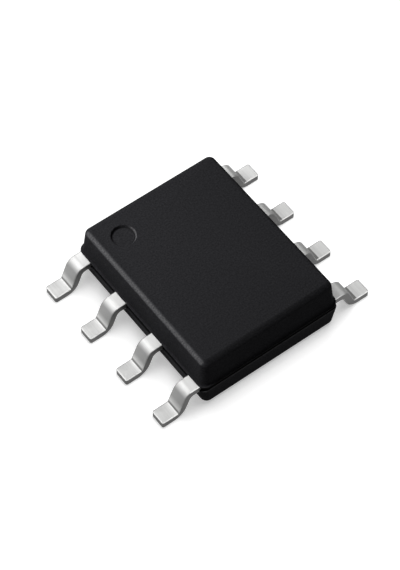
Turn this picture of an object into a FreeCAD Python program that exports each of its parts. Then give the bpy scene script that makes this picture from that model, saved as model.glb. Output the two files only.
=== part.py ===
# An eight-lead small-outline chip: epoxy moulding, gull-wing leads, die pad, die and bond wires.
# Millimetres. X runs across the leads, Y along the body and Z up from the board.
# The origin is the middle of the underside of the feet.
import FreeCAD, Part
import math
import os

V = FreeCAD.Vector
UP = V(0, 0, 1)

# Lead rows
leads_per_side = 4
lead_pitch = 1.27
lead_width = 0.38
sheet_thickness = 0.18
edge_rounding = 0.02
tip_corner = 0.06

# Lead bends, from the moulding outwards
shoulder_flat = 0.145
shoulder_outer_radius = 0.26
shoulder_inner_radius = 0.12
riser_lean_deg = 22.0
heel_inner_radius = 0.02
heel_outer_radius = 0.34
foot_top_length = 0.393

# Lead fingers inside the moulding
finger_width = 0.62
finger_length = 0.45
finger_corner = 0.06
finger_end_overhang = 0.03
finger_gap_to_pad = 0.17

# Moulding
body_width = 3.57
end_margin = 0.12
board_gap = 0.10
cover_below_pad = 0.30
cover_above_wires = 0.345
upper_draft_deg = 5.0
upper_corner = 0.15
top_edge_radius = 0.14
lip_reach = 0.05
lip_over_lead = 0.01
lip_thickness = 0.04
lip_flare = 0.035
groove_height = 0.07
groove_depth = 0.03
lower_side_draft_deg = 10.0
lower_end_draft_deg = 3.0
lower_corner = 0.15
bottom_edge_radius = 0.03

# Mark of lead 1
mark_diameter = 0.54
mark_wall = 0.03
mark_depth = 0.06
mark_from_side = 0.70
mark_from_end = 0.75

# Die and what carries it
pad_downset = 0.12
pad_margin = 0.22
pad_corner = 0.10
tie_bar_width = 0.25
tie_bar_slope_deg = 40.0
tie_bar_cover = 0.07
attach_thickness = 0.03
attach_margin = 0.03
die_width = 1.40
die_length = 2.00
die_thickness = 0.25

# Bond wires
wire_diameter = 0.05
ball_diameter = 0.11
ball_height = 0.04
bond_inset = 0.12
bond_pitch = 0.50
loop_rise = 0.13
loop_bend_radius = 0.07
stitch_from_tip = 0.10
stitch_length = 0.12
stitch_width = 0.08
stitch_height = 0.02
stitch_wire_lift = 0.004
stitch_bend_radius = 0.12

# Levels above the board
pad_bottom = board_gap + cover_below_pad
pad_top = pad_bottom + sheet_thickness
lead_bottom = pad_bottom + pad_downset
lead_top = lead_bottom + sheet_thickness
die_bottom = pad_top + attach_thickness
die_top = die_bottom + die_thickness
loop_level = die_top + ball_height + loop_rise
body_top = loop_level + wire_diameter / 2 + cover_above_wires
lip_top = lead_top + lip_over_lead
lip_bottom = lip_top - lip_thickness
lower_half_top = lip_bottom - groove_height

# Plan sizes worked out from the above
row_length = (leads_per_side - 1) * lead_pitch
body_length = row_length + lead_width + 2 * end_margin
attach_width = die_width + 2 * attach_margin
attach_length = die_length + 2 * attach_margin
pad_width = attach_width + 2 * pad_margin
pad_length = attach_length + 4 * pad_margin
finger_tip = pad_width / 2 + finger_gap_to_pad
strip_start = finger_tip + finger_length / 2
seam_corner = upper_corner + lip_reach


def lead_places():
    """Yield each lead's number, its side (-1 or +1 along X) and its place along Y."""
    for i in range(leads_per_side):
        yield 1 + i, -1, row_length / 2 - i * lead_pitch
    for i in range(leads_per_side):
        yield 1 + leads_per_side + i, 1, -row_length / 2 + i * lead_pitch


def on_side(shape, side):
    """Turn a shape made for the +X side half round for the -X side."""
    if side > 0:
        return shape
    turned = shape.copy()
    turned.rotate(V(0, 0, 0), UP, 180)
    return turned


def rounded_plate(x_low, x_high, length, z_low, thickness, corner):
    """A flat plate centred on Y = 0 with its four upright edges rounded."""
    plate = Part.makeBox(x_high - x_low, length, thickness, V(x_low, -length / 2, z_low))
    return plate.makeFillet(corner, upright_edges(plate))


def upright_edges(shape):
    """The edges that climb, which on a drafted block are its four corners."""
    found = []
    for edge in shape.Edges:
        a, b = edge.Vertexes[0].Point, edge.Vertexes[-1].Point
        if abs(a.z - b.z) > 0.5 * a.distanceToPoint(b) > 0:
            found.append(edge)
    return found


def level_edges(shape, z):
    """The edges that lie at one height."""
    return [e for e in shape.Edges if all(abs(v.Z - z) < 1e-6 for v in e.Vertexes)]


def tapered_block(width_low, length_low, z_low, width_high, length_high, z_high):
    """A block with flat leaning walls between two centred rectangles."""
    def ring(width, length, z):
        x, y = width / 2, length / 2
        return [V(-x, -y, z), V(x, -y, z), V(x, y, z), V(-x, y, z)]

    low = ring(width_low, length_low, z_low)
    high = ring(width_high, length_high, z_high)
    rings = [low[::-1], high]
    for i in range(4):
        j = (i + 1) % 4
        rings.append([low[i], low[j], high[j], high[i]])
    faces = [Part.Face(Part.makePolygon(r + [r[0]])) for r in rings]
    return Part.Solid(Part.Shell(faces))


def bent_path(points, radii):
    """Straight runs between points, joined at the inner ones by tangent arcs."""
    edges = []
    start = points[0]
    for before, corner, after, radius in zip(points, points[1:], points[2:], radii):
        inward = (before - corner).normalize()
        onward = (after - corner).normalize()
        half = inward.getAngle(onward) / 2
        reach = radius / math.tan(half)
        a = corner + inward * reach
        b = corner + onward * reach
        middle = (inward + onward).normalize()
        centre = corner + middle * (radius / math.sin(half))
        edges.append(Part.LineSegment(start, a).toShape())
        edges.append(Part.Arc(a, centre - middle * radius, b).toShape())
        start = b
    edges.append(Part.LineSegment(start, points[-1]).toShape())
    return Part.Wire(edges)


def lead_corners():
    """The lead's outline on the +X side as (x, z) corners with the radius that rounds each one."""
    lean = math.radians(riser_lean_deg)
    half_turn = math.radians(90 - riser_lean_deg) / 2
    x_shoulder = body_width / 2 + shoulder_flat + shoulder_outer_radius * math.tan(half_turn)
    x_heel = x_shoulder + (lead_top - sheet_thickness) * math.tan(lean)
    across = sheet_thickness / math.cos(lean)
    x_under_heel = x_heel + sheet_thickness * math.tan(lean) - across
    x_under_shoulder = x_under_heel - lead_bottom * math.tan(lean)
    x_tip = x_heel + foot_top_length
    return [(strip_start, lead_top, 0), (x_shoulder, lead_top, shoulder_outer_radius),
            (x_heel, sheet_thickness, heel_inner_radius), (x_tip, sheet_thickness, 0),
            (x_tip, 0, 0), (x_under_heel, 0, heel_outer_radius),
            (x_under_shoulder, lead_bottom, shoulder_inner_radius), (strip_start, lead_bottom, 0)]


def tip_reach():
    """How far the lead's tip is from the middle of the part."""
    return max(x for x, z, radius in lead_corners())


def rounded_outline(corners):
    """A closed wire in the XZ plane through corners, each rounded by its own radius."""
    points = [V(x, 0, z) for x, z, radius in corners]
    stops = []
    for i, corner in enumerate(points):
        radius = corners[i][2]
        inward = (points[i - 1] - corner).normalize()
        onward = (points[(i + 1) % len(points)] - corner).normalize()
        half = inward.getAngle(onward) / 2
        reach = radius / math.tan(half)
        middle = (inward + onward).normalize()
        top_of_arc = corner + middle * (radius / math.sin(half) - radius)
        stops.append((corner + inward * reach, top_of_arc, corner + onward * reach))
    edges = []
    for i, (a, top_of_arc, b) in enumerate(stops):
        edges.append(Part.LineSegment(stops[i - 1][2], a).toShape())
        if corners[i][2]:
            edges.append(Part.Arc(a, top_of_arc, b).toShape())
    return Part.Wire(edges)


def middle_of(edge):
    """The point halfway along an edge."""
    return edge.valueAt((edge.FirstParameter + edge.LastParameter) / 2)


def is_tip_corner(edge):
    """True for the two upright edges of the strip's tip."""
    return all(abs(v.X - tip_reach()) < 1e-6 for v in edge.Vertexes) and abs(edge.tangentAt(0).z) > 0.5


def is_soft_edge(edge):
    """True for the strip's long edges and the level edges round its tip, which the stamping rounds."""
    middle = middle_of(edge)
    along = abs(abs(middle.y) - lead_width / 2) < 1e-6
    upright = abs(edge.Vertexes[0].X - edge.Vertexes[-1].X) < 1e-6 and along
    level = abs(edge.Vertexes[0].Z - edge.Vertexes[-1].Z) < 1e-6
    round_tip = level and middle.x > tip_reach() - tip_corner
    return middle.x > strip_start + 1e-6 and not upright and (along or round_tip)


def finger_shift(y):
    """The end fingers widen mostly towards the middle, so that the moulding covers them."""
    if abs(y) < row_length / 2 - lead_pitch / 2:
        return 0
    return -math.copysign((finger_width - lead_width) / 2 - finger_end_overhang, y)


def lead(side, y):
    """One lead: a stamped strip with a wide finger inside and two bends outside."""
    outline = rounded_outline(lead_corners())
    outline.translate(V(0, -lead_width / 2, 0))
    strip = Part.Face(outline).extrude(V(0, lead_width, 0))
    strip = strip.makeFillet(tip_corner, [e for e in strip.Edges if is_tip_corner(e)])
    strip = strip.makeFillet(edge_rounding, [e for e in strip.Edges if is_soft_edge(e)])
    finger = rounded_plate(finger_tip, finger_tip + finger_length, finger_width,
                           lead_bottom, sheet_thickness, finger_corner)
    finger.translate(V(0, finger_shift(side * y), 0))
    whole = strip.fuse(finger).removeSplitter()
    whole.translate(V(0, side * y, 0))
    return on_side(whole.Solids[0], side)


def die_pad():
    """The pad below the die, with a tie bar at each end that climbs to the lead level."""
    pad = rounded_plate(-pad_width / 2, pad_width / 2, pad_length, pad_bottom, sheet_thickness, pad_corner)
    end = body_length / 2 - tie_bar_cover
    rise_run = pad_downset / math.tan(math.radians(tie_bar_slope_deg))
    foot = pad_length / 2 + sheet_thickness / 2
    start = pad_length / 2 - pad_corner
    level = [V(0, start, pad_bottom), V(0, foot, pad_bottom), V(0, foot + rise_run, lead_bottom),
             V(0, end, lead_bottom)]
    back = [p + UP * sheet_thickness for p in reversed(level)]
    outline = Part.makePolygon(level + back + [level[0]])
    outline.translate(V(-tie_bar_width / 2, 0, 0))
    bar = Part.Face(outline).extrude(V(tie_bar_width, 0, 0))
    return pad.fuse([bar, on_side(bar, -1)]).removeSplitter().Solids[0]


def die_attach():
    """The thin layer that holds the die to the pad."""
    return Part.makeBox(attach_width, attach_length, attach_thickness,
                        V(-attach_width / 2, -attach_length / 2, pad_top))


def die():
    """The silicon chip."""
    return Part.makeBox(die_width, die_length, die_thickness,
                        V(-die_width / 2, -die_length / 2, die_bottom))


def bond_wire(side, y, place):
    """One wire: a ball on the die, a loop, and a flattened end on the lead's finger."""
    from_die = V(die_width / 2 - bond_inset, bond_pitch * place, die_top)
    on_finger = side * y + finger_shift(side * y)
    to_lead = V(finger_tip + stitch_from_tip + stitch_length, on_finger, lead_top)
    along = V(to_lead.x - from_die.x, to_lead.y - from_die.y, 0).normalize()
    lift = wire_diameter / 2 + stitch_wire_lift
    landing = to_lead - along * stitch_length + UP * lift
    points = [from_die, V(from_die.x, from_die.y, loop_level), landing, to_lead + UP * lift]
    path = bent_path(points, [loop_bend_radius, stitch_bend_radius])
    ring = Part.Wire(Part.makeCircle(wire_diameter / 2, from_die, UP))
    wire = path.makePipeShell([ring], True, True)
    ball = Part.makeCylinder(ball_diameter / 2, ball_height, from_die, UP)
    stitch = Part.makeBox(stitch_length, stitch_width, stitch_height, V(0, -stitch_width / 2, 0))
    stitch.rotate(V(0, 0, 0), UP, math.degrees(math.atan2(along.y, along.x)))
    stitch.translate(to_lead - along * stitch_length)
    return on_side(wire.fuse([ball, stitch]).removeSplitter().Solids[0], side)


def seam_plate(inset, z_low, z_high):
    """A slice of the moulding at its seam, set in from the outermost outline by an inset."""
    half_width = body_width / 2 - inset
    return rounded_plate(-half_width, half_width, body_length - 2 * inset,
                         z_low, z_high - z_low, seam_corner - inset)


def upper_moulding():
    """The upper half: leaning walls, a soft top edge and a thin lip at the seam."""
    foot_width = body_width - 2 * lip_reach
    foot_length = body_length - 2 * lip_reach
    lean = 2 * math.tan(math.radians(upper_draft_deg)) * (body_top - lip_top)
    walls = tapered_block(foot_width, foot_length, lip_top, foot_width - lean, foot_length - lean, body_top)
    walls = walls.makeFillet(upper_corner, upright_edges(walls))
    walls = walls.makeFillet(top_edge_radius, level_edges(walls, body_top))
    half = walls.fuse(seam_plate(0, lip_bottom, lip_top)).removeSplitter()
    inner = [e for e in level_edges(half, lip_top) if is_inner_rim(e)]
    return half.makeFillet(lip_flare, inner)


def is_inner_rim(edge):
    """True for the edge where the wall meets the top of the lip."""
    middle = middle_of(edge)
    inside_x = abs(middle.x) < body_width / 2 - lip_reach / 2
    inside_y = abs(middle.y) < body_length / 2 - lip_reach / 2
    corner = math.hypot(max(abs(middle.x) - body_width / 2 + seam_corner, 0),
                        max(abs(middle.y) - body_length / 2 + seam_corner, 0))
    return inside_x and inside_y and corner < upper_corner + lip_reach / 2


def lower_moulding():
    """The lower half, as wide as the lip at its top, with its own draft at sides and ends."""
    height = lower_half_top - board_gap
    side_lean = 2 * math.tan(math.radians(lower_side_draft_deg)) * height
    end_lean = 2 * math.tan(math.radians(lower_end_draft_deg)) * height
    block = tapered_block(body_width - side_lean, body_length - end_lean, board_gap,
                          body_width, body_length, lower_half_top)
    block = block.makeFillet(lower_corner, upright_edges(block))
    return block.makeFillet(bottom_edge_radius, level_edges(block, board_gap))


def lead_one_mark():
    """The shallow round recess beside lead 1."""
    low = mark_diameter / 2 - mark_wall
    x = -body_width / 2 + mark_from_side
    y = body_length / 2 - mark_from_end
    return Part.makeCone(low, mark_diameter / 2, mark_depth, V(x, y, body_top - mark_depth), UP)


def mould_body(inner):
    """The moulding: one solid cast round everything inside it."""
    groove_floor = seam_plate(groove_depth, lower_half_top, lip_bottom)
    outer = upper_moulding().fuse([groove_floor, lower_moulding()]).removeSplitter()
    outer = outer.cut(lead_one_mark())
    return outer.cut(inner).Solids[0]


def build():
    """Every piece by name."""
    pieces = {"die_pad": die_pad(), "die_attach": die_attach(), "die": die()}
    for number, side, y in lead_places():
        place = (y / lead_pitch) * side
        pieces["lead_%d" % number] = lead(side, y)
        pieces["bond_wire_%d" % number] = bond_wire(side, y, place)
    pieces["mould_body"] = mould_body(list(pieces.values()))
    return pieces


def main():
    os.makedirs("parts", exist_ok=True)
    for name, shape in build().items():
        shape.exportStep("parts/%s.step" % name)
        print("%-12s %.5f mm3" % (name, shape.Volume))
    print("span over the leads %.3f mm" % (2 * tip_reach()))
    print("body %.3f x %.3f mm, top at %.3f mm" % (body_width, body_length, body_top))


main()
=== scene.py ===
import math

import bmesh
import bpy
from mathutils import Matrix, Vector


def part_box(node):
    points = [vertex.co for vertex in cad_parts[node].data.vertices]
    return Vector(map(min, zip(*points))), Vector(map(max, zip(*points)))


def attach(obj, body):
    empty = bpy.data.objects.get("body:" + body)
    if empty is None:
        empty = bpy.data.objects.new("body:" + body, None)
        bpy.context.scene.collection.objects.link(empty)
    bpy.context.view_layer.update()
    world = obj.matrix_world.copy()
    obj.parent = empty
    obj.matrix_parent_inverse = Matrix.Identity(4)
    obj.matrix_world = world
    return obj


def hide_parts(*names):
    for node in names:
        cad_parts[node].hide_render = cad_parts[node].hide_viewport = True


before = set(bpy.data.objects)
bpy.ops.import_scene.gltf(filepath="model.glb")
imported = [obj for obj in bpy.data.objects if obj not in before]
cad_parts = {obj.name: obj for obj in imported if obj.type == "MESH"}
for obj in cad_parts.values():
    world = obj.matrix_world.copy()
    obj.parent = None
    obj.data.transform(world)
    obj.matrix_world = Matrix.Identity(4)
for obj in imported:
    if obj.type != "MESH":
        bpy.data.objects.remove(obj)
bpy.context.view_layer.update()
mm = 0.001
print("frame loaded with", len(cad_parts), "nodes")


# Camera: a long lens high over the corner between lead 4 and the near end
cameraSetup = {
    "place": Vector((-15.723, -20.71, 39.56)) * mm,
    "tilt": math.radians(33.531),
    "turn": math.radians(-36.87),
    "lens": 140.8,
    "sensor": 36.0,
    "nearest": 1 * mm,
    "farthest": 2.0,
}


def addCamera():
    data = bpy.data.cameras.new("camera")
    data.sensor_fit = "VERTICAL"
    data.sensor_height = cameraSetup["sensor"]
    data.lens = cameraSetup["lens"]
    data.clip_start = cameraSetup["nearest"]
    data.clip_end = cameraSetup["farthest"]
    camera = bpy.data.objects.new("camera", data)
    camera.location = cameraSetup["place"]
    camera.rotation_euler = (cameraSetup["tilt"], 0, cameraSetup["turn"])
    bpy.context.scene.collection.objects.link(camera)
    bpy.context.scene.camera = camera


# Small helpers for node trees
def newGroup(name, inputs, outputs):
    tree = bpy.data.node_groups.new(name, "ShaderNodeTree")
    for label, value in inputs.items():
        socket = tree.interface.new_socket(label, in_out="INPUT", socket_type="NodeSocketFloat")
        socket.default_value = value
    for label in outputs:
        tree.interface.new_socket(label, in_out="OUTPUT", socket_type="NodeSocketFloat")
    return tree, tree.nodes.new("NodeGroupInput"), tree.nodes.new("NodeGroupOutput")


def addNode(tree, kind, **settings):
    node = tree.nodes.new(kind)
    for key, value in settings.items():
        setattr(node, key, value)
    return node


def placeGroup(tree, group, **values):
    node = tree.nodes.new("ShaderNodeGroup")
    node.node_tree = group
    for label, value in values.items():
        node.inputs[label].default_value = value
    return node


def mathNode(tree, operation, first, second=0.0, clamp=False):
    node = addNode(tree, "ShaderNodeMath", operation=operation, use_clamp=clamp)
    for socket, value in zip(node.inputs, (first, second)):
        if isinstance(value, bpy.types.NodeSocket):
            tree.links.new(value, socket)
        else:
            socket.default_value = value
    return node.outputs[0]


def times(tree, first, *others):
    for other in others:
        first = mathNode(tree, "MULTIPLY", first, other)
    return first


def mixColours(tree, factor, low, high):
    node = addNode(tree, "ShaderNodeMix", data_type="RGBA")
    tree.links.new(factor, node.inputs[0])
    for socket, value in ((node.inputs[6], low), (node.inputs[7], high)):
        if isinstance(value, bpy.types.NodeSocket):
            tree.links.new(value, socket)
        else:
            socket.default_value = (*value, 1.0)
    return node.outputs[2]


def scaledRange(tree, source, low, high):
    node = addNode(tree, "ShaderNodeMapRange")
    tree.links.new(source, node.inputs["Value"])
    node.inputs["To Min"].default_value = low
    node.inputs["To Max"].default_value = high
    return node.outputs["Result"]


def rangeMask(tree, source, atZero, atOne):
    # 0 at one value of the source and 1 at another, eased between them
    mask = addNode(tree, "ShaderNodeMapRange", interpolation_type="SMOOTHSTEP")
    tree.links.new(source, mask.inputs["Value"])
    mask.inputs["From Min"].default_value = min(atZero, atOne)
    mask.inputs["From Max"].default_value = max(atZero, atOne)
    mask.inputs["To Min"].default_value = 0.0 if atZero < atOne else 1.0
    mask.inputs["To Max"].default_value = 1.0 if atZero < atOne else 0.0
    return mask.outputs["Result"]


# Shared effects
noiseSetup = {
    "usualSpan": (0.30, 0.70),
    "grainDetail": 2.0,
    "patchDetail": 3.0,
    "grainRoughness": 0.55,
    "lineDetail": 2.0,
    "toneSize": 0.45,
    # the span below breaks up the painted edge highlights
    "highlightSpan": (0.3, 1.1),
}


def spread(tree, noise):
    # noise stays near its middle, so its usual span is stretched to 0-1
    node = addNode(tree, "ShaderNodeMapRange")
    tree.links.new(noise, node.inputs["Value"])
    node.inputs["From Min"].default_value, node.inputs["From Max"].default_value = noiseSetup["usualSpan"]
    return node.outputs["Result"]


def makeGrainGroup():
    # even grain of the given size in millimetres, with slow patches over it
    tree, source, result = newGroup("fineGrain", {"Grain mm": 0.03, "Patch mm": 1.0}, ("Height", "Patches"))
    place = addNode(tree, "ShaderNodeTexCoord")
    for label, output, detail in (("Grain mm", "Height", "grainDetail"),
                                  ("Patch mm", "Patches", "patchDetail")):
        noise = addNode(tree, "ShaderNodeTexNoise")
        noise.inputs["Detail"].default_value = noiseSetup[detail]
        noise.inputs["Roughness"].default_value = noiseSetup["grainRoughness"]
        perMetre = mathNode(tree, "DIVIDE", 1.0 / mm, source.outputs[label])
        tree.links.new(perMetre, noise.inputs["Scale"])
        tree.links.new(place.outputs["Object"], noise.inputs["Vector"])
        tree.links.new(spread(tree, noise.outputs["Fac"]), result.inputs[output])
    return tree


def makeBrushGroup():
    # fine lines along Y, of the given spacing and length in millimetres
    sizes = {"Spacing mm": 0.012, "Length mm": 0.35}
    tree, source, result = newGroup("brushLines", sizes, ("Height", "Tone"))
    place = addNode(tree, "ShaderNodeTexCoord")
    stretch = addNode(tree, "ShaderNodeCombineXYZ")
    across = mathNode(tree, "DIVIDE", 1.0 / mm, source.outputs["Spacing mm"])
    along = mathNode(tree, "DIVIDE", 1.0 / mm, source.outputs["Length mm"])
    tree.links.new(across, stretch.inputs["X"])
    tree.links.new(along, stretch.inputs["Y"])
    tree.links.new(across, stretch.inputs["Z"])
    stretched = addNode(tree, "ShaderNodeVectorMath", operation="MULTIPLY")
    tree.links.new(place.outputs["Object"], stretched.inputs[0])
    tree.links.new(stretch.outputs[0], stretched.inputs[1])
    for output, size in (("Height", 1.0), ("Tone", noiseSetup["toneSize"])):
        noise = addNode(tree, "ShaderNodeTexNoise")
        noise.inputs["Scale"].default_value = size
        noise.inputs["Detail"].default_value = noiseSetup["lineDetail"]
        tree.links.new(stretched.outputs[0], noise.inputs["Vector"])
        tree.links.new(spread(tree, noise.outputs["Fac"]), result.inputs[output])
    return tree


def makeHighlightGroup():
    # painted highlight on rounded edges: the piece's own rim mark, broken up by noise
    tree, source, result = newGroup("edgeHighlightPaint", {"Amount": 1.0, "Break mm": 0.08}, ("Mask",))
    rim = addNode(tree, "ShaderNodeAttribute", attribute_name="rim")
    place = addNode(tree, "ShaderNodeTexCoord")
    noise = addNode(tree, "ShaderNodeTexNoise")
    tree.links.new(mathNode(tree, "DIVIDE", 1.0 / mm, source.outputs["Break mm"]), noise.inputs["Scale"])
    tree.links.new(place.outputs["Object"], noise.inputs["Vector"])
    broken = scaledRange(tree, spread(tree, noise.outputs["Fac"]), *noiseSetup["highlightSpan"])
    paintedHighlight = mathNode(tree, "MULTIPLY", rim.outputs["Fac"], broken)
    mask = mathNode(tree, "MULTIPLY", paintedHighlight, source.outputs["Amount"], clamp=True)
    tree.links.new(mask, result.inputs["Mask"])
    return tree


grainGroup = makeGrainGroup()
brushGroup = makeBrushGroup()
highlightGroup = makeHighlightGroup()


def newMaterial(name):
    material = bpy.data.materials.new(name)
    material.use_nodes = True
    return material, material.node_tree, material.node_tree.nodes["Principled BSDF"]


def addBump(tree, shader, height, distance):
    bump = addNode(tree, "ShaderNodeBump")
    bump.inputs["Strength"].default_value = 1.0
    bump.inputs["Distance"].default_value = distance
    tree.links.new(height, bump.inputs["Height"])
    tree.links.new(bump.outputs["Normal"], shader.inputs["Normal"])


# Finishes. Grain, patches and the spots that break up painted highlights are in millimetres, as the groups
# take them
epoxyFinish = {
    "colour": (0.0128, 0.0128, 0.0140),
    "paleColour": (0.0240, 0.0240, 0.0262),
    # the next tone is a painted highlight, the one after it painted shade
    "paintedHighlight": (0.092, 0.092, 0.095),
    "shadePaint": (0.0030, 0.0030, 0.0032),
    "grain": 0.035,
    "patch": 0.9,
    "highlightSpots": 0.03,
    "bumpHeight": 0.0022 * mm,
    "roughness": (0.40, 0.50),
    "specular": 0.0012,
}


def makeEpoxy():
    f = epoxyFinish
    material, tree, shader = newMaterial("mouldEpoxy")
    grain = placeGroup(tree, grainGroup, **{"Grain mm": f["grain"], "Patch mm": f["patch"]})
    # the rim mark paints highlights on edges, and the attribute after it paints shade on hollows and on
    # faces turned from the light
    edgeHighlight = placeGroup(tree, highlightGroup, **{"Amount": 1.0, "Break mm": f["highlightSpots"]})
    toned = mixColours(tree, grain.outputs["Height"], f["colour"], f["paleColour"])
    shadePaint = addNode(tree, "ShaderNodeAttribute", attribute_name="shadePaint")
    # painted shade where the attribute marks it
    paintedShade = mixColours(tree, shadePaint.outputs["Fac"], toned, f["shadePaint"])
    tree.links.new(mixColours(tree, edgeHighlight.outputs["Mask"], paintedShade, f["paintedHighlight"]), shader.inputs["Base Color"])
    rough = scaledRange(tree, grain.outputs["Patches"], *f["roughness"])
    tree.links.new(rough, shader.inputs["Roughness"])
    shader.inputs["Specular IOR Level"].default_value = f["specular"]
    addBump(tree, shader, grain.outputs["Height"], f["bumpHeight"])
    return material


# the tin's lengths run outwards from the moulding or past the heel, and the levels of the painted shade on
# its climb up from the board
tinFinish = {
    "colour": (0.52, 0.52, 0.515),
    "paleColour": (0.61, 0.61, 0.605),
    # the next tone is painted shade, the one after it a painted highlight, then painted shade again
    "shadedTone": (0.24, 0.24, 0.238),
    "paintedHighlight": (0.88, 0.88, 0.87),
    "paintedShade": (0.12, 0.12, 0.118),
    "highlightSpots": 0.10,
    "topFrom": 0.7,
    "topTo": 0.9,
    # the settings below place the painted shade and painted light on the strip
    "bentFrom": 0.985,
    "bentTo": 0.55,
    "shadeFromLevel": 0.20 * mm,
    "shadeToLevel": 0.42 * mm,
    "rootLength": 0.22 * mm,
    "rootLight": 0.8,
    "leftCrease": -0.010 * mm,
    "rightCrease": 0.055 * mm,
    "creaseWidth": 0.024 * mm,
    "creaseHighlightWidth": 0.09 * mm,
    "creaseHighlight": 0.55,
    "footFrom": 0.05 * mm,
    "footTo": 0.20 * mm,
    "leftFootShade": 0.25,
    "rightFootLight": 0.40,
    "rightRootLight": 0.45,
    "rightShadeFrom": 0.19 * mm,
    "rightShadeTo": 0.29 * mm,
    "rightShade": 0.45,
    "rightHeelShade": 0.8,
    "roughness": (0.40, 0.50),
    "metallic": 0.32,
    "bumpHeight": 0.0008 * mm,
}


def makeTinPlate():
    # painted shade where the strip climbs and along the crease, painted light on the root, the foot and the
    # strip beyond the crease
    f = tinFinish
    material, tree, shader = newMaterial("tinPlate")
    brush = placeGroup(tree, brushGroup)
    # the edge mark gives painted highlights and the attribute after it painted shade
    edgeHighlight = placeGroup(tree, highlightGroup, **{"Amount": 1.0, "Break mm": f["highlightSpots"]})
    shadePaint = addNode(tree, "ShaderNodeAttribute", attribute_name="shadePaint")
    place = addNode(tree, "ShaderNodeTexCoord")
    normal = addNode(tree, "ShaderNodeSeparateXYZ")
    tree.links.new(place.outputs["Normal"], normal.inputs[0])
    position = addNode(tree, "ShaderNodeSeparateXYZ")
    tree.links.new(place.outputs["Object"], position.inputs[0])
    level = position.outputs["Z"]
    outwards = mathNode(tree, "ABSOLUTE", position.outputs["X"])
    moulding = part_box("mould_body")[1].x
    heel = abs(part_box("lead_1")[0].x) - leadShape["footTop"]
    pastHeel = mathNode(tree, "SUBTRACT", outwards, heel)
    thick = leadShape["thickness"]
    onTop = rangeMask(tree, level, thick * f["topFrom"], thick * f["topTo"])
    onRight = mathNode(tree, "GREATER_THAN", position.outputs["X"], 0.0)
    onLeft = mathNode(tree, "SUBTRACT", 1.0, onRight)

    # both rows: painted shade on the climb, painted light on the root, a painted shade line at the crease
    # and a painted highlight strip beyond it
    climbing = rangeMask(tree, mathNode(tree, "ABSOLUTE", normal.outputs["Z"]), f["bentFrom"], f["bentTo"])
    shadedClimb = times(tree, climbing, rangeMask(tree, level, f["shadeFromLevel"], f["shadeToLevel"]))
    root = times(tree, rangeMask(tree, outwards, moulding + f["rootLength"], moulding), f["rootLight"], onTop)
    creaseAt = scaledRange(tree, onRight, f["leftCrease"], f["rightCrease"])
    pastCrease = mathNode(tree, "SUBTRACT", pastHeel, creaseAt)
    fromCrease = mathNode(tree, "ABSOLUTE", pastCrease)
    crease = times(tree, rangeMask(tree, fromCrease, f["creaseWidth"], 0.0), onTop)
    beyond = mathNode(tree, "GREATER_THAN", pastCrease, 0.0)
    creaseHighlight = times(tree, rangeMask(tree, pastCrease, f["creaseHighlightWidth"], 0.0), f["creaseHighlight"], beyond, onTop)
    alongFoot = rangeMask(tree, pastHeel, f["footFrom"], f["footTo"])
    # painted shade along the foot of the row towards the light
    leftFoot = times(tree, alongFoot, f["leftFootShade"], onLeft)

    # the row away from the light: painted shade from its outer bend to the crease, painted light on the root
    # and foot
    rightFoot = times(tree, alongFoot, f["rightFootLight"], onRight)
    behindHeel = times(tree, mathNode(tree, "LESS_THAN", pastHeel, 0.0), onRight)
    outerBend = rangeMask(tree, outwards, moulding + f["rightShadeFrom"], moulding + f["rightShadeTo"])
    shaded = times(tree, outerBend, f["rightShade"], behindHeel)
    rightRoot = times(tree, mathNode(tree, "SUBTRACT", 1.0, outerBend), f["rightRootLight"], behindHeel)
    fromHeel = times(tree, rangeMask(tree, pastHeel, -2 * f["creaseWidth"], 0.0), onRight)
    toCrease = times(tree, mathNode(tree, "SUBTRACT", 1.0, beyond), f["rightHeelShade"])
    heelShade = times(tree, fromHeel, toCrease, onTop)

    # painted light on the roots
    paintedLight = mathNode(tree, "MAXIMUM", root, rightRoot)
    paintedShade = mathNode(tree, "MAXIMUM", mathNode(tree, "MAXIMUM", crease, heelShade), shadePaint.outputs["Fac"])
    colour = mixColours(tree, brush.outputs["Tone"], f["colour"], f["paleColour"])
    for mask, tone in ((shadedClimb, "shadedTone"), (leftFoot, "shadedTone"), (rightFoot, "paintedHighlight"), (paintedLight, "paintedHighlight"),
                       (shaded, "paintedShade"), (creaseHighlight, "paintedHighlight"), (paintedShade, "paintedShade"),
                       (edgeHighlight.outputs["Mask"], "paintedHighlight")):
        colour = mixColours(tree, mask, colour, f[tone])
    tree.links.new(colour, shader.inputs["Base Color"])
    tree.links.new(scaledRange(tree, brush.outputs["Tone"], *f["roughness"]), shader.inputs["Roughness"])
    shader.inputs["Metallic"].default_value = f["metallic"]
    addBump(tree, shader, brush.outputs["Height"], f["bumpHeight"])
    return material


shearFinish = {
    "colour": (0.075, 0.075, 0.075),
    "paleColour": (0.125, 0.124, 0.122),
    "grain": 0.02,
    "patch": 0.25,
    "roughness": (0.45, 0.60),
    "metallic": 0.85,
    "bumpHeight": 0.0015 * mm,
}


def makeShearedEdge():
    # the cut sides of the leads, duller than the plated faces
    f = shearFinish
    material, tree, shader = newMaterial("shearedEdge")
    grain = placeGroup(tree, grainGroup, **{"Grain mm": f["grain"], "Patch mm": f["patch"]})
    toned = mixColours(tree, grain.outputs["Patches"], f["colour"], f["paleColour"])
    tree.links.new(toned, shader.inputs["Base Color"])
    tree.links.new(scaledRange(tree, grain.outputs["Patches"], *f["roughness"]), shader.inputs["Roughness"])
    shader.inputs["Metallic"].default_value = f["metallic"]
    addBump(tree, shader, grain.outputs["Height"], f["bumpHeight"])
    return material


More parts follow.
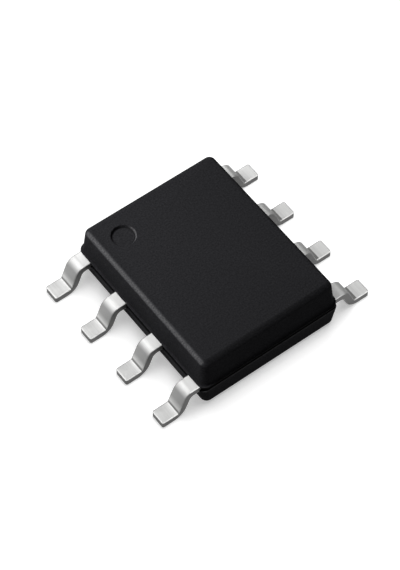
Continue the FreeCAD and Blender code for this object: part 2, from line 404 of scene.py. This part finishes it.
innerFinishes = {
    "bareCopper": {"colour": (0.72, 0.38, 0.25), "paleColour": (0.86, 0.52, 0.37), "metallic": 1.0,
                   "roughness": (0.30, 0.42), "bumpHeight": 0.0008 * mm, "lines": True},
    "silverEpoxy": {"colour": (0.42, 0.41, 0.39), "paleColour": (0.62, 0.61, 0.58), "metallic": 0.5,
                    "roughness": (0.55, 0.75), "bumpHeight": 0.0020 * mm, "lines": False},
    "silicon": {"colour": (0.15, 0.16, 0.20), "paleColour": (0.23, 0.24, 0.29), "metallic": 0.9,
                "roughness": (0.10, 0.18), "bumpHeight": 0.0001 * mm, "lines": False},
    "bondCopper": {"colour": (0.80, 0.44, 0.30), "paleColour": (0.90, 0.58, 0.42), "metallic": 1.0,
                   "roughness": (0.18, 0.28), "bumpHeight": 0.0003 * mm, "lines": True},
}


innerGrain = {"Grain mm": 0.02, "Patch mm": 0.3}


def makeInnerFinish(name):
    # what the moulding hides: sheet copper, adhesive, silicon and wire
    f = innerFinishes[name]
    material, tree, shader = newMaterial(name)
    if f["lines"]:
        texture = placeGroup(tree, brushGroup)
        tone = texture.outputs["Tone"]
    else:
        texture = placeGroup(tree, grainGroup, **innerGrain)
        tone = texture.outputs["Patches"]
    tree.links.new(mixColours(tree, tone, f["colour"], f["paleColour"]), shader.inputs["Base Color"])
    tree.links.new(scaledRange(tree, tone, *f["roughness"]), shader.inputs["Roughness"])
    shader.inputs["Metallic"].default_value = f["metallic"]
    addBump(tree, shader, texture.outputs["Height"], f["bumpHeight"])
    return material


mergeWithin = 0.0002 * mm


def finishPiece(name, bm, materials, node):
    bmesh.ops.remove_doubles(bm, verts=bm.verts, dist=mergeWithin)
    bmesh.ops.recalc_face_normals(bm, faces=bm.faces)
    loose = sum(not edge.is_manifold for edge in bm.edges)
    mesh = bpy.data.meshes.new(name)
    bm.to_mesh(mesh)
    bm.free()
    mesh.shade_smooth()
    piece = bpy.data.objects.new(name, mesh)
    bpy.context.scene.collection.objects.link(piece)
    for material in materials:
        mesh.materials.append(material)
    even = piece.modifiers.new("evenNormals", "WEIGHTED_NORMAL")
    even.keep_sharp = True
    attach(piece, "root")
    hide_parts(node)
    print(name, "has", len(mesh.polygons), "faces and", loose, "open edges")


# The moulding: rounded rectangles stacked from the underside to the top
bodyShape = {
    "lipReach": 0.05 * mm,
    "lipOverLead": 0.01 * mm,
    "lipThickness": 0.04 * mm,
    "lipEdge": 0.008 * mm,
    "seamRounding": 0.025 * mm,
    "lipFlare": 0.033 * mm,
    "grooveHeight": 0.095 * mm,
    "grooveDepth": 0.03 * mm,
    "upperDraft": math.radians(5),
    "sideDraft": math.radians(10),
    "endDraft": math.radians(3),
    "corner": 0.20 * mm,
    "lowerCorner": 0.15 * mm,
    "topEdge": 0.128 * mm,
    "bottomEdge": 0.03 * mm,
    "cornerSteps": 10,
    "topSteps": 12,
    "smallSteps": 4,
    "levelFacing": 0.95,
}

markShape = {
    "radius": 0.27 * mm,
    "wall": 0.03 * mm,
    "depth": 0.06 * mm,
    "fromSide": 0.70 * mm,
    "fromEnd": 0.75 * mm,
    "margin": 0.03 * mm,
    "rimRounding": 0.014 * mm,
    "floorRounding": 0.008 * mm,
    # the ring width and the amount below are painted shade in the recess floor
    "shadeRing": 0.014 * mm,
    "paintedShade": 0.35,
    "steps": 72,
}

# which way each marked edge faces, how closely a point must face that way, and how strongly it is marked.
# An amount above 1 lets the noise break less of the mark
# edges given a painted highlight where they face the light
highlightEdges = {
    "sideTop": {"towards": Vector((-0.70, 0.0, 0.714)), "fadeFrom": 0.895, "fullFrom": 0.995, "amount": 1.0},
    "endSeam": {"towards": Vector((0.0, -0.70, 0.714)), "fadeFrom": 0.80, "fullFrom": 0.99, "amount": 1.6},
    "lipCorner": {"towards": Vector((-0.66, -0.25, 0.707)), "fadeFrom": 0.97, "fullFrom": 0.998,
                  "amount": 0.9},
    "markEdge": {"towards": Vector((-0.80, 0.41, 0.44)), "fadeFrom": 0.60, "fullFrom": 0.98, "amount": 1.6},
}
# edges given painted shade where they face away from the light or lie in hollows
shadeEdges = {
    "nearTop": {"towards": Vector((0.0, -0.42, 0.907)), "fadeFrom": 0.88, "fullFrom": 0.98, "amount": 0.4},
    "endFlare": {"towards": Vector((0.0, -0.70, 0.714)), "fadeFrom": 0.60, "fullFrom": 0.95, "amount": 0.1},
    "sideFlare": {"towards": Vector((-0.70, 0.0, 0.714)), "fadeFrom": 0.60, "fullFrom": 0.95, "amount": 0.4},
    "lipSide": {"towards": Vector((-0.80, 0.0, -0.60)), "fadeFrom": 0.50, "fullFrom": 0.90, "amount": 1.0},
    "bottomEnd": {"towards": Vector((0.0, -0.60, -0.80)), "fadeFrom": 0.80, "fullFrom": 0.95, "amount": 0.9},
    "bottomSide": {"towards": Vector((-0.6, 0.0, -0.8)), "fadeFrom": 0.80, "fullFrom": 0.95, "amount": 0.9},
    "sideLedge": {"towards": Vector((-0.35, 0.0, 0.937)), "fadeFrom": 0.80, "fullFrom": 0.95, "amount": 1.0},
    "lipEnd": {"towards": Vector((0.0, -0.95, -0.31)), "fadeFrom": 0.40, "fullFrom": 0.90, "amount": 1.0},
    "farTop": {"towards": Vector((0.0, 0.87, 0.50)), "fadeFrom": 0.90, "fullFrom": 0.98, "amount": 0.6},
    "rightTop": {"towards": Vector((0.87, 0.0, 0.50)), "fadeFrom": 0.85, "fullFrom": 0.98, "amount": 0.8},
    "markWall": {"towards": Vector((0.32, -0.82, 0.47)), "fadeFrom": 0.60, "fullFrom": 0.95, "amount": 0.85},
}


def bevelCorners(bm, verts, offset, steps):
    return bmesh.ops.bevel(bm, geom=verts, offset=offset, offset_type="ABSOLUTE", affect="VERTICES",
                           segments=steps, profile=0.5, material=-1)


def bevelLoop(bm, edges, offset, steps):
    return bmesh.ops.bevel(bm, geom=edges, offset=offset, offset_type="OFFSET", affect="EDGES",
                           segments=steps, profile=0.5, material=-1)


def addRing(bm, halfX, halfY, corner, z):
    # a rounded rectangle, left as a loop of edges
    place = Matrix.Translation((0, 0, z)) @ Matrix.Diagonal((halfX, halfY, 1, 1))
    plate = bmesh.ops.create_grid(bm, x_segments=1, y_segments=1, size=1.0, matrix=place)
    rounded = bevelCorners(bm, plate["verts"], corner, bodyShape["cornerSteps"])["verts"]
    faces = {face for vert in rounded for face in vert.link_faces}
    bmesh.ops.delete(bm, geom=list(faces), context="FACES_ONLY")
    return list({edge for vert in rounded for edge in vert.link_edges})


def joinRings(bm, lower, upper):
    # a face from each edge of one ring to its fellow on the next, both counted round from the same side:
    # bridge_loops turns the two rings of a ledge against each other
    below, above = [sorted({vert for edge in ring for vert in edge.verts},
                           key=lambda vert: math.atan2(vert.co.y, vert.co.x)) for ring in (lower, upper)]
    for i in range(len(below)):
        bm.faces.new((below[i - 1], below[i], above[i], above[i - 1]))


def markEdges(bm, verts, layer, edges, names):
    # marks the points that face the way each named edge faces
    bm.normal_update()
    mark = bm.verts.layers.float[layer]
    for vert in verts:
        for edge in (edges[name] for name in names):
            fade = edge["fullFrom"] - edge["fadeFrom"]
            share = (vert.normal.dot(edge["towards"]) - edge["fadeFrom"]) / fade
            vert[mark] = max(vert[mark], edge["amount"] * min(1, max(0, share)))


def cutMark(bm, low, high):
    # the shallow round recess beside lead 1, let into the flat top
    m = markShape
    top = max(bm.faces, key=lambda face: (round(face.calc_center_median().z / mm, 4), face.calc_area()))
    border = list(top.edges)
    bmesh.ops.delete(bm, geom=[top], context="FACES_ONLY")
    place = Matrix.Translation((low.x + m["fromSide"], high.y - m["fromEnd"], high.z))
    made = bmesh.ops.create_circle(bm, cap_ends=True, radius=m["radius"] + m["margin"], segments=m["steps"],
                                   matrix=place)
    disc = made["verts"][0].link_faces[0]
    bmesh.ops.triangle_fill(bm, edges=border + list(disc.edges), use_beauty=True, use_dissolve=False)
    bmesh.ops.recalc_face_normals(bm, faces=bm.faces)
    flat = bmesh.ops.inset_region(bm, faces=[disc], thickness=m["margin"], use_even_offset=True)["faces"]
    wall = bmesh.ops.inset_region(bm, faces=[disc], thickness=m["wall"], depth=-m["depth"],
                                  use_even_offset=True)["faces"]
    rimLoop = [edge for face in flat for edge in face.edges
               if any(other in wall for other in edge.link_faces)]
    floorLoop = list(disc.edges)
    markRim = bevelLoop(bm, rimLoop, m["rimRounding"], bodyShape["smallSteps"])["verts"]
    markFloor = bevelLoop(bm, floorLoop, m["floorRounding"], bodyShape["smallSteps"])["verts"]
    disc = max({face for vert in markFloor for face in vert.link_faces}, key=lambda face: face.calc_area())
    ring = bmesh.ops.inset_region(bm, faces=[disc], thickness=m["shadeRing"], use_even_offset=True)["faces"]
    # painted shade in the floor near the wall, a painted highlight on the lit side of the rim, and painted
    # shade on the wall turned from the light
    shadePaint = bm.verts.layers.float["shadePaint"]
    for vert in {vert for face in ring for vert in face.verts}.union(markFloor):
        vert[shadePaint] = m["paintedShade"]
    for vert in disc.verts:
        vert[shadePaint] = 0.0
    markEdges(bm, markRim, "rim", highlightEdges, ["markEdge"])
    markEdges(bm, markRim + markFloor, "shadePaint", shadeEdges, ["markWall"])


def makeMoulding():
    s = bodyShape
    low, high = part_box("mould_body")
    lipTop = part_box("lead_1")[1].z + s["lipOverLead"]
    lipLow = lipTop - s["lipThickness"]
    seam = lipLow - s["grooveHeight"]
    halfX, halfY = (high.x - low.x) / 2, (high.y - low.y) / 2
    sideLean = math.tan(s["sideDraft"]) * (seam - low.z)
    endLean = math.tan(s["endDraft"]) * (seam - low.z)
    upperLean = math.tan(s["upperDraft"]) * (high.z - lipTop)
    reach, groove = s["lipReach"], s["grooveDepth"]
    rings = [
        (sideLean, endLean, s["lowerCorner"], low.z),
        (0, 0, s["lowerCorner"], seam),
        (groove, groove, s["corner"] - groove, seam),
        (groove, groove, s["corner"] - groove, lipLow),
        (0, 0, s["corner"], lipLow),
        (0, 0, s["corner"], lipTop),
        (reach, reach, s["corner"] - reach, lipTop),
        (reach + upperLean, reach + upperLean, s["corner"] - reach, high.z),
    ]
    bm = bmesh.new()
    bm.verts.layers.float.new("rim")
    shadePaint = bm.verts.layers.float.new("shadePaint")
    loops = [addRing(bm, halfX - inX, halfY - inY, corner, z) for inX, inY, corner, z in rings]
    # painted shade in the groove
    for edge in loops[2] + loops[3]:
        for vert in edge.verts:
            vert[shadePaint] = 1.0
    for lower, upper in zip(loops, loops[1:]):
        joinRings(bm, lower, upper)
    bmesh.ops.contextual_create(bm, geom=loops[0])
    bmesh.ops.contextual_create(bm, geom=loops[-1])
    bmesh.ops.recalc_face_normals(bm, faces=bm.faces)
    topEdge = bevelLoop(bm, loops[7], s["topEdge"], s["topSteps"])["verts"]
    flare = bevelLoop(bm, loops[6], s["lipFlare"], s["smallSteps"])["verts"]
    lip = bevelLoop(bm, loops[5], s["lipEdge"], s["smallSteps"])["verts"]
    seamEdge = bevelLoop(bm, loops[1], s["seamRounding"], s["smallSteps"])["verts"]
    bottomEdge = bevelLoop(bm, loops[0], s["bottomEdge"], s["smallSteps"])["verts"]
    lipUnder = list({vert for edge in loops[4] for vert in edge.verts})
    bm.normal_update()
    # painted shade on the ledge's upward face
    for vert in seamEdge:
        if vert.normal.z > s["levelFacing"]:
            vert[shadePaint] = 1.0
    # painted highlights on lit edges first, then painted shade on shaded edges and hollows
    for verts, names in ((topEdge, ["sideTop"]), (seamEdge, ["endSeam"]), (lip, ["lipCorner"])):
        markEdges(bm, verts, "rim", highlightEdges, names)
    for verts, names in ((topEdge, ["nearTop", "farTop", "rightTop"]), (flare, ["endFlare", "sideFlare"]),
                         (lipUnder + lip, ["lipEnd", "lipSide"]), (seamEdge, ["sideLedge"]),
                         (bottomEdge, ["bottomEnd", "bottomSide"])):
        markEdges(bm, verts, "shadePaint", shadeEdges, names)
    cutMark(bm, low, high)
    finishPiece("moulding", bm, [epoxy], "mould_body")


# The leads: one stamped strip each, with a wide finger inside and two bends outside.
# A facing value is how much of a face's normal has to point that way
leadShape = {
    "width": 0.38 * mm,
    "thickness": 0.18 * mm,
    "pitch": 1.27 * mm,
    "perSide": 4,
    "shoulderOuter": 0.26 * mm,
    "shoulderInner": 0.12 * mm,
    "riserLean": math.radians(22),
    "heelInner": 0.02 * mm,
    "heelOuter": 0.34 * mm,
    "footTop": 0.393 * mm,
    "edgeRounding": 0.02 * mm,
    "tipCorner": 0.042 * mm,
    "fingerLength": 0.45 * mm,
    "fingerWidth": 0.62 * mm,
    "fingerOverhang": 0.03 * mm,
    "fingerCorner": 0.06 * mm,
    "bendSteps": 14,
    "edgeSteps": 3,
    # painted highlight on the tip edges of the row towards the light, painted shade on those of the other
    # row and on edges facing away
    "tipHighlight": 0.45,
    "tipShade": 0.80,
    "farEdgeShade": 0.75,
    "hairsBreadth": 0.001 * mm,
    "facingSide": 0.7,
    "facingTip": 0.5,
    "facingNear": 0.2,
    "broadTilt": 0.01,
}


def leadCorners(inside, tip, top):
    # (x, z) corners of the outline on the +X side, each with the radius that rounds it
    s = leadShape
    thick, lean = s["thickness"], math.tan(s["riserLean"])
    heel = tip - s["footTop"]
    rise = (top - thick) * lean
    underHeel = heel + thick * lean - thick / math.cos(s["riserLean"])
    return [(inside, top, 0), (heel - rise, top, s["shoulderOuter"]), (heel, thick, s["heelInner"]),
            (tip, thick, 0), (tip, 0, 0), (underHeel, 0, s["heelOuter"]),
            (underHeel - rise, top - thick, s["shoulderInner"]), (inside, top - thick, 0)]


def addStrip(bm, corners, turnOf):
    # the outline as one face in the XZ plane, its corners rounded, drawn out along Y
    s = leadShape
    verts = [bm.verts.new((x, -s["width"] / 2, z)) for x, z, radius in corners]
    bm.faces.new(verts)
    for vert, (x, z, radius) in zip(verts, corners):
        if radius:
            bevelCorners(bm, [vert], radius * turnOf, s["bendSteps"])
    made = bmesh.ops.extrude_face_region(bm, geom=bm.faces[:])
    moved = [item for item in made["geom"] if isinstance(item, bmesh.types.BMVert)]
    bmesh.ops.translate(bm, verts=moved, vec=(0, s["width"], 0))


def isStampedEdge(edge, start, tip):
    # where a broad face of the strip meets its cut sides or its tip
    s = leadShape
    tiny = s["hairsBreadth"]
    broad = 0
    for face in edge.link_faces:
        x = face.calc_center_median().x
        broad += abs(face.normal.y) < s["broadTilt"] and start + tiny < x < tip - tiny
    return broad == 1 and max(vert.co.x for vert in edge.verts) > start + tiny


def riseOf(edge):
    return abs(edge.verts[0].co.z - edge.verts[1].co.z)


def addFinger(bm, inside, top, shift):
    # the wide plate that the moulding grips, let into the strip's start
    s = leadShape
    place = Matrix.Translation((inside + s["fingerLength"] / 2, shift, top - s["thickness"] / 2))
    size = Matrix.Diagonal((s["fingerLength"], s["fingerWidth"], s["thickness"], 1))
    made = bmesh.ops.create_cube(bm, size=1.0, matrix=place @ size)
    uprights = {edge for vert in made["verts"] for edge in vert.link_edges if riseOf(edge) > 0}
    bevelLoop(bm, list(uprights), s["fingerCorner"], s["edgeSteps"])


def markLead(faces, tip, top, side, rim, shadePaint):
    # painted highlights and painted shade on the rounded edges, set row by row as the light falls on each
    s = leadShape
    for face in faces:
        middle = face.calc_center_median()
        onFoot = abs(middle.x) > tip - s["footTop"]
        onRoot = side < 0 and middle.z > top - s["edgeRounding"]
        if face.normal.z > 0 and face.normal.y < -s["facingNear"]:
            face[rim] = 1.0 if onFoot or onRoot else 0.0
        elif face.normal.y > s["facingNear"]:
            face[shadePaint] = s["farEdgeShade"]
        elif face.normal.z > 0 and side < 0:
            face[rim] = s["tipHighlight"]
        elif face.normal.z > 0:
            face[shadePaint] = s["tipShade"]


def makeLead(number, side, y):
    s = leadShape
    low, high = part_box("lead_%d" % number)
    inside, tip = sorted((abs(low.x), abs(high.x)))
    start = inside + s["fingerLength"] / 2
    bm = bmesh.new()
    rim = bm.faces.layers.float.new("rim")
    shadePaint = bm.faces.layers.float.new("shadePaint")
    addStrip(bm, leadCorners(start, tip, high.z), math.tan((math.pi / 2 - s["riserLean"]) / 2))
    bmesh.ops.recalc_face_normals(bm, faces=bm.faces)
    tipCorners = [edge for edge in bm.edges if riseOf(edge) > s["thickness"] / 2
                  and min(vert.co.x for vert in edge.verts) > tip - s["hairsBreadth"]]
    bevelLoop(bm, tipCorners, s["tipCorner"], 2 * s["edgeSteps"])
    bm.normal_update()
    stamped = [edge for edge in bm.edges if isStampedEdge(edge, start, tip)]
    rounded = set(bevelLoop(bm, stamped, s["edgeRounding"], s["edgeSteps"])["faces"])
    bm.normal_update()
    for face in bm.faces:
        atTip = face.calc_center_median().x > tip - s["tipCorner"] and abs(face.normal.z) < s["facingTip"]
        if (abs(face.normal.y) > s["facingSide"] or atTip) and face not in rounded:
            face.material_index = 1
    alongRow = side * y
    atEnd = abs(alongRow) > s["pitch"]
    shift = (s["fingerWidth"] - s["width"]) / 2 - s["fingerOverhang"] if atEnd else 0
    addFinger(bm, inside, high.z, -math.copysign(shift, alongRow))
    bmesh.ops.translate(bm, verts=bm.verts, vec=(0, alongRow, 0))
    if side < 0:
        bmesh.ops.rotate(bm, verts=bm.verts, cent=(0, 0, 0), matrix=Matrix.Rotation(math.pi, 3, "Z"))
    bm.normal_update()
    markLead(rounded, tip, high.z, side, rim, shadePaint)
    finishPiece("gullWingLead_%d" % number, bm, [tinPlate, shearedEdge], "lead_%d" % number)


def makeLeads():
    pitch, perSide = leadShape["pitch"], leadShape["perSide"]
    for i in range(perSide):
        y = ((perSide - 1) / 2 - i) * pitch
        makeLead(1 + i, -1, y)
        makeLead(1 + perSide + i, 1, -y)


# What the moulding holds inside
innerPieces = {
    "die_pad": "bareCopper",
    "die_attach": "silverEpoxy",
    "die": "silicon",
    "bond_wire": "bondCopper",
}


def finishInside():
    made = {finish: makeInnerFinish(finish) for finish in innerFinishes}
    for name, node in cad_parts.items():
        finish = innerPieces.get(name) or innerPieces.get(name.rsplit("_", 1)[0])
        if finish:
            node.data.materials.clear()
            node.data.materials.append(made[finish])


# Floor, sky and lamps
floorSetup = {
    "half": 0.25,
    "drop": 0.002 * mm,
    "lit": (0.80, 0.80, 0.80),
    "bounce": (0.30, 0.30, 0.30),
    "lift": 0.42,
    "farLift": 1.0,
    "farFrom": 12 * mm,
    "farTo": 40 * mm,
}
skySetup = {"onPart": 0.15, "seen": 1.0}


def seenDirectly(tree):
    # 1 for what the camera, reflections and clear materials see, 0 for light that falls on the part
    path = addNode(tree, "ShaderNodeLightPath")
    mask = mathNode(tree, "MAXIMUM", path.outputs["Is Camera Ray"], path.outputs["Is Glossy Ray"])
    return mathNode(tree, "MAXIMUM", mask, path.outputs["Is Transmission Ray"])


def addFloor():
    # its finish glows more with distance, so that it ends in the white of the sky
    bm = bmesh.new()
    below = Matrix.Translation((0, 0, -floorSetup["drop"]))
    bmesh.ops.create_grid(bm, x_segments=1, y_segments=1, size=floorSetup["half"], matrix=below)
    mesh = bpy.data.meshes.new("floor")
    bm.to_mesh(mesh)
    bm.free()
    floor = bpy.data.objects.new("floor", mesh)
    bpy.context.scene.collection.objects.link(floor)
    material = bpy.data.materials.new("whiteFloor")
    material.use_nodes = True
    tree = material.node_tree
    tree.nodes.clear()
    seen = seenDirectly(tree)
    matt = addNode(tree, "ShaderNodeBsdfDiffuse")
    tree.links.new(mixColours(tree, seen, floorSetup["bounce"], floorSetup["lit"]), matt.inputs["Color"])
    place = addNode(tree, "ShaderNodeTexCoord")
    length = addNode(tree, "ShaderNodeVectorMath", operation="LENGTH")
    tree.links.new(place.outputs["Object"], length.inputs[0])
    far = rangeMask(tree, length.outputs["Value"], floorSetup["farFrom"], floorSetup["farTo"])
    lift = scaledRange(tree, far, floorSetup["lift"], floorSetup["farLift"])
    glow = addNode(tree, "ShaderNodeEmission")
    tree.links.new(mathNode(tree, "MULTIPLY", seen, lift), glow.inputs["Strength"])
    both = addNode(tree, "ShaderNodeAddShader")
    tree.links.new(matt.outputs[0], both.inputs[0])
    tree.links.new(glow.outputs[0], both.inputs[1])
    output = addNode(tree, "ShaderNodeOutputMaterial")
    tree.links.new(both.outputs[0], output.inputs["Surface"])
    mesh.materials.append(material)


def addSky():
    world = bpy.data.worlds.new("studio")
    bpy.context.scene.world = world
    world.use_nodes = True
    tree = world.node_tree
    back = tree.nodes["Background"]
    back.inputs["Color"].default_value = (1, 1, 1, 1)
    tree.links.new(scaledRange(tree, seenDirectly(tree), skySetup["onPart"], skySetup["seen"]),
                   back.inputs["Strength"])


# The floor has a lamp of its own, straight above, so that its shadow stays round the part
lamps = {
    "floorLamp": {"towards": Vector((0.12, 0.12, 0.98)), "away": 26 * mm, "size": 21 * mm, "watts": 0.0080,
                  "matt": True, "glossy": False, "floor": "INCLUDE"},
    "keyLamp": {"towards": Vector((-0.42, 0.36, 0.83)), "away": 23 * mm, "size": 13 * mm, "watts": 0.0070,
                "matt": True, "glossy": False, "floor": "EXCLUDE"},
    "sheenLamp": {"towards": Vector((-0.42, 0.42, 0.80)), "away": 60 * mm, "size": 30 * mm, "watts": 0.009,
                  "matt": False, "glossy": True, "floor": "EXCLUDE"},
    "rimLamp": {"towards": Vector((0.33, -0.83, 0.44)), "away": 60 * mm, "size": 24 * mm, "watts": 0.020,
                "matt": False, "glossy": True, "floor": "EXCLUDE"},
}


def addLamps():
    for name, setup in lamps.items():
        data = bpy.data.lights.new(name, "AREA")
        data.shape = "SQUARE"
        data.size = setup["size"]
        data.energy = setup["watts"]
        lamp = bpy.data.objects.new(name, data)
        direction = setup["towards"].normalized()
        lamp.location = direction * setup["away"]
        lamp.rotation_euler = direction.to_track_quat("Z", "Y").to_euler()
        lamp.visible_diffuse = setup["matt"]
        lamp.visible_glossy = setup["glossy"]
        lit = bpy.data.collections.new(name + "Lit")
        lit.objects.link(bpy.data.objects["floor"])
        lit.collection_objects[0].light_linking.link_state = setup["floor"]
        lamp.light_linking.receiver_collection = lit
        bpy.context.scene.collection.objects.link(lamp)


addCamera()
epoxy = makeEpoxy()
tinPlate = makeTinPlate()
shearedEdge = makeShearedEdge()
print("finishes made")
makeMoulding()
makeLeads()
finishInside()
print("part made")
addFloor()
addSky()
addLamps()
bpy.context.scene.view_settings.view_transform = "Standard"
print("stage and lamps made")

bpy.context.view_layer.update()
